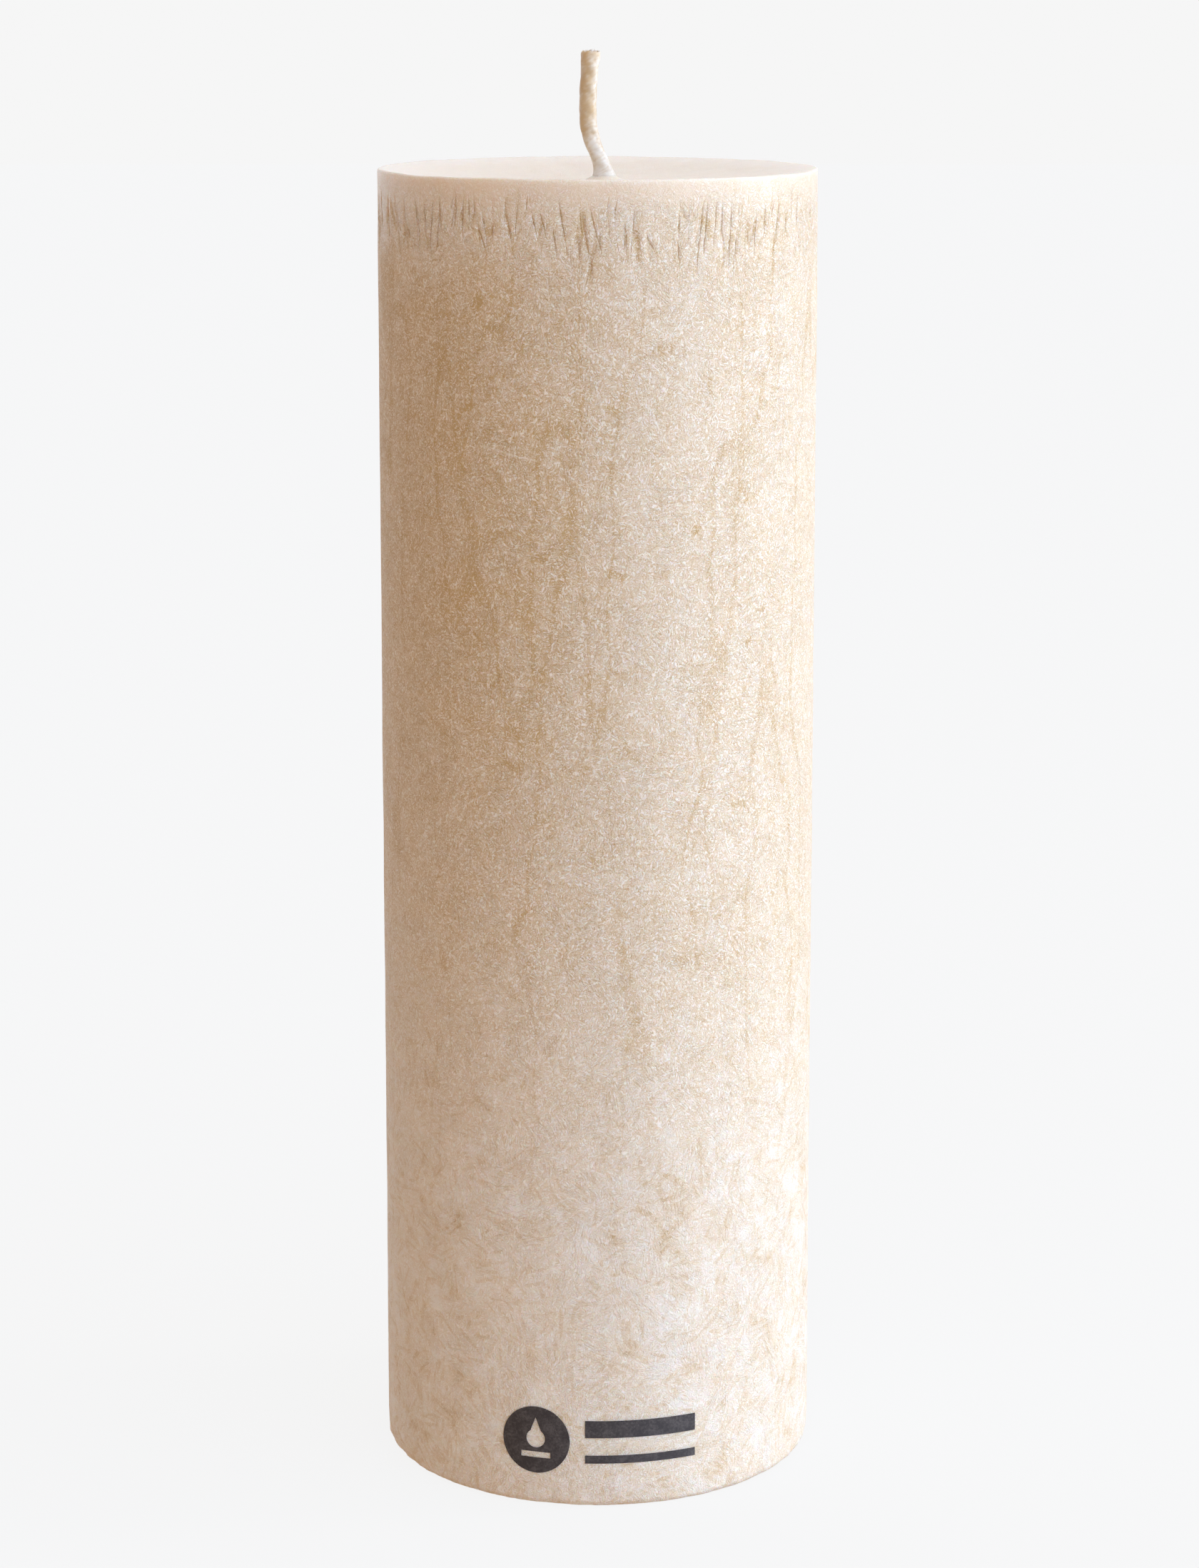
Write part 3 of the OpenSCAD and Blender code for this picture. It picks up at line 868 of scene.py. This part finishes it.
def smooth_wax():
    material, make, shader = new_material("filling_wax", Roughness=0.45, IOR=1.44, Subsurface_Weight=0.3,
                                          Subsurface_Scale=2.5 * MM)
    shader.inputs["Subsurface Radius"].default_value = (1.0, 0.55, 0.3)
    place = make.add("ShaderNodeTexCoord").outputs["Object"]
    cloud = make.noise(place, 220.0, 4.0, 0.6)
    make.feed(shader.inputs["Base Color"], colour_mix(make, make.ramp(cloud, 0.3, 0.7), BODY_WAX, FROST_WAX))
    make.feed(shader.inputs["Normal"], bump(make, make.noise(place, 900.0, 3.0), 0.3, 0.08 * MM))
    return material


def wick_wax_material():
    material, make, shader = new_material("priming_wax", Roughness=0.42, IOR=1.44, Subsurface_Weight=0.3,
                                          Subsurface_Scale=0.9 * MM)
    shader.inputs["Subsurface Radius"].default_value = (1.0, 0.7, 0.45)
    place = make.add("ShaderNodeTexCoord").outputs["Object"]
    height = make.split(place)[2]
    tilted = make.add("ShaderNodeVectorRotate", {"Vector": place, "Angle": 0.5}, rotation_type="Y_AXIS")
    wrinkle = make.noise(make.vector("MULTIPLY", tilted.outputs[0], (0.45, 1, 1.6)), 1500.0, 2.0, 0.5)
    blotch = make.noise(make.vector("MULTIPLY", place, (1, 1, 0.7)), 520.0, 2.0, 0.5)
    # painted shade: the wick's side turned away from the window light is pushed towards the darker wax colour
    wick_shade_mask = make.add("ShaderNodeAttribute", attribute_name="thin_wax").outputs["Fac"]
    fresh = make.ramp(height, PILLAR_H + 10 * MM, PILLAR_H, 0.0, 0.12)
    tone = make.ramp(make.total(make.times(wrinkle, 0.40), make.times(blotch, 0.60), fresh,
                                make.times(wick_shade_mask, -0.22)), 0.24, 0.76)
    make.feed(shader.inputs["Base Color"], colour_mix(make, tone, SOAKED_WAX, PRIMING_WAX))
    make.feed(shader.inputs["Normal"], bump(make, make.plus(wrinkle, make.times(blotch, 0.5)),
                                            0.5, 0.10 * MM))
    return material


def cotton():
    material, make, shader = new_material("wick_cotton", Roughness=0.8, Sheen_Weight=0.2)
    place = make.add("ShaderNodeTexCoord").outputs["Object"]
    fibre = make.noise(make.vector("MULTIPLY", place, (1, 1, 0.25)), 5200.0, 3.0, 0.6)
    soil = make.noise(place, 900.0, 2.0)
    tone = make.ramp(make.plus(make.times(fibre, 0.6), make.times(soil, 0.4)), 0.35, 0.62)
    make.feed(shader.inputs["Base Color"], colour_mix(make, tone, WAXED_COTTON, CLEAN_COTTON))
    make.feed(shader.inputs["Normal"], bump(make, fibre, 0.6, 0.05 * MM))
    return material


def tinned_steel():
    material, make, shader = new_material("tinned_steel", Metallic=1.0, Roughness=0.32)
    place = make.add("ShaderNodeTexCoord").outputs["Object"]
    spangle = make.noise(place, 700.0, 4.0, 0.65)
    make.feed(shader.inputs["Base Color"], colour_mix(make, spangle, DULL_TIN, BRIGHT_TIN))
    make.feed(shader.inputs["Roughness"], make.ramp(spangle, 0.3, 0.7, 0.24, 0.42))
    make.feed(shader.inputs["Normal"], bump(make, make.noise(place, 2500.0, 2.0), 0.2, 0.02 * MM))
    return material


def print_ink():
    material, make, shader = new_material("print_film", Roughness=0.6)
    place = make.add("ShaderNodeTexCoord").outputs["Object"]
    patchy = make.noise(place, 2600.0, 4.0, 0.7)
    wide = make.noise(place, 500.0, 2.0)
    tone = make.ramp(make.plus(make.times(patchy, 0.6), make.times(wide, 0.4)), 0.40, 0.68)
    make.feed(shader.inputs["Base Color"], colour_mix(make, tone, DENSE_INK, THIN_INK))
    make.feed(shader.inputs["Normal"], bump(make, patchy, 0.3, 0.03 * MM))
    return material


def finish_node(name, material):
    """Gives a part that keeps its own shape the finish it needs."""
    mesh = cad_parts[name].data
    mesh.materials.clear()
    mesh.materials.append(material)


# ---------------------------------------------------------------- studio
PAPER_WHITE = 0.921


def pale_floor():
    material = bpy.data.materials.new("pale_floor")
    material.use_nodes = True
    make = Maker(material.node_tree)
    make.tree.nodes.remove(make.tree.nodes["Principled BSDF"])
    output = make.tree.nodes["Material Output"]
    glow = make.add("ShaderNodeEmission", {"Color": (0.846, 0.851, 0.853, 1), "Strength": 1.0})
    matt = make.add("ShaderNodeBsdfDiffuse", {"Color": (0.08, 0.08, 0.08, 1)})
    both = make.add("ShaderNodeAddShader", {0: glow.outputs[0], 1: matt.outputs[0]})
    make.feed(output.inputs["Surface"], both.outputs[0])
    half = 4.0
    corners = [(x, y, -0.05 * MM) for x, y in ((-half, -half), (half, -half), (half, half), (-half, half))]
    floor = mesh_object("studio_floor", corners, [(0, 1, 2, 3)], material=material, smooth=False)
    floor.visible_diffuse = False
    floor.visible_glossy = False


def studio_light():
    """Soft surround: a warm fill all round, a broad window on the right and paler light from behind."""
    world = bpy.data.worlds.new("studio")
    bpy.context.scene.world = world
    world.use_nodes = True
    make = Maker(world.node_tree)
    background = world.node_tree.nodes["Background"]
    way = make.add("ShaderNodeTexCoord").outputs["Generated"]

    def lobe(direction, power, colour):
        aimed = make.vector("DOT_PRODUCT", way, tuple(Vector(direction).normalized()))
        amount = make.math("POWER", make.math("MAXIMUM", aimed, 0.0), power)
        return make.vector("SCALE", colour, amount)

    fill = (0.475, 0.288, 0.138)
    key = lobe((0.96, -0.70, 0.45), 1.8, (1.39, 1.85, 2.48))
    edge = lobe((-0.80, 0.62, 0.10), 9.0, (0.46, 0.80, 1.2))
    back = lobe((-0.10, 1.0, 0.25), 2.0, (0.50, 0.68, 0.84))
    light = make.vector("ADD", make.vector("ADD", make.vector("ADD", fill, key), edge), back)
    seen = make.add("ShaderNodeLightPath").outputs["Is Camera Ray"]
    paper = (PAPER_WHITE, PAPER_WHITE, PAPER_WHITE, 1)
    make.feed(background.inputs["Color"], colour_mix(make, seen, light, paper))
    background.inputs["Strength"].default_value = 1.0

    panel = bpy.data.lights.new("window_panel", "AREA")
    panel.shape = "RECTANGLE"
    panel.size, panel.size_y = 0.20, 0.60
    panel.energy = 4.6
    lamp = link(bpy.data.objects.new("window_panel", panel))
    lamp.location = (0.98, 0.09, 0.17)
    lamp.rotation_euler = (Vector((0, 0, 0.17)) - lamp.location).to_track_quat("-Z", "Y").to_euler()


def studio_camera():
    camera = bpy.data.cameras.new("camera")
    camera.sensor_width = 36
    camera.lens = 86.3
    camera.shift_y = -0.12
    camera.dof.use_dof = False
    holder = link(bpy.data.objects.new("camera", camera))
    pitch = math.radians(9.556)
    holder.location = (0.3 * MM, -0.600, 0.242)
    holder.rotation_euler = (math.pi / 2 - pitch, 0, 0)
    bpy.context.scene.camera = holder


# ---------------------------------------------------------------- build
scene = bpy.context.scene
scene.view_settings.view_transform = "Standard"
scene.view_settings.look = "None"
studio_light()
pale_floor()
studio_camera()

domain = domain_group()
groups = {"strokes": stroke_group(domain), "fans": fan_group(domain), "needles": needle_group(domain),
          "flakes": flake_group(domain), "cells": cell_group(), "feathers": feather_group()}
wax = frosted_wax(groups)
fill_wax = smooth_wax()
prime = wick_wax_material()
yarn = cotton()
steel = tinned_steel()
ink = print_ink()

pillar = wax_pillar(wax)
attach(pillar, "root")
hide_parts("wax_body")

plug = filled_well(fill_wax)
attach(plug, "root")
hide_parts("base_plug")

for number, strand in enumerate(wick_strands(yarn), 1):
    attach(strand, "root")
    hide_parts(f"wick_strand_{number}")

coat = wick_wax(prime)
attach(coat, "root")
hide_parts("wick_coat")

fray = frayed_tip(yarn)
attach(fray, "root")

for name in ("mark_badge", "mark_rule_upper", "mark_rule_lower"):
    finish_node(name, ink)
finish_node("wick_clip", steel)
